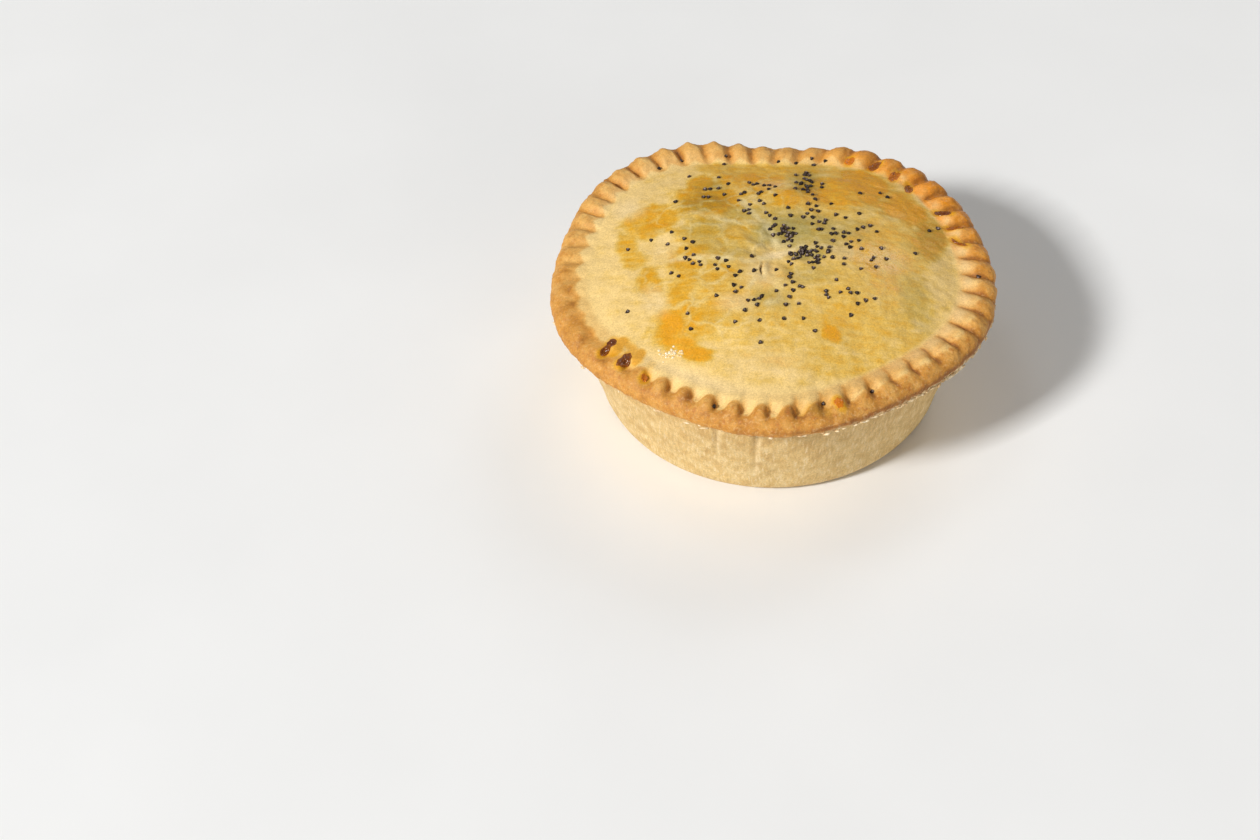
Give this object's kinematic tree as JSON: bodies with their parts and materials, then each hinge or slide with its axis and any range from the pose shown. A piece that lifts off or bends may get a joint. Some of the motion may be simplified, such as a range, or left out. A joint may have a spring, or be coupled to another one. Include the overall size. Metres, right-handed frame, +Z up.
{
  "type": "beef pie",
  "caption": "Round uncut savoury pie: tapered pastry case, crimped rim and domed lid with a puckered dimple, brushed with egg wash and sprinkled with poppy seeds.",
  "frame": {"origin": "centre of the flat foot that the pie rests on", "axes": "+Z up through the lid, +X to the right of the pictured view, -Y towards its front"},
  "size_m": [0.1223, 0.1144, 0.0468],
  "materials": {
    "pastry": "baked golden pastry, satin where brushed with egg"
  },
  "bodies": {
    "root": {"pie": "pastry"}
  },
  "joints": []
}
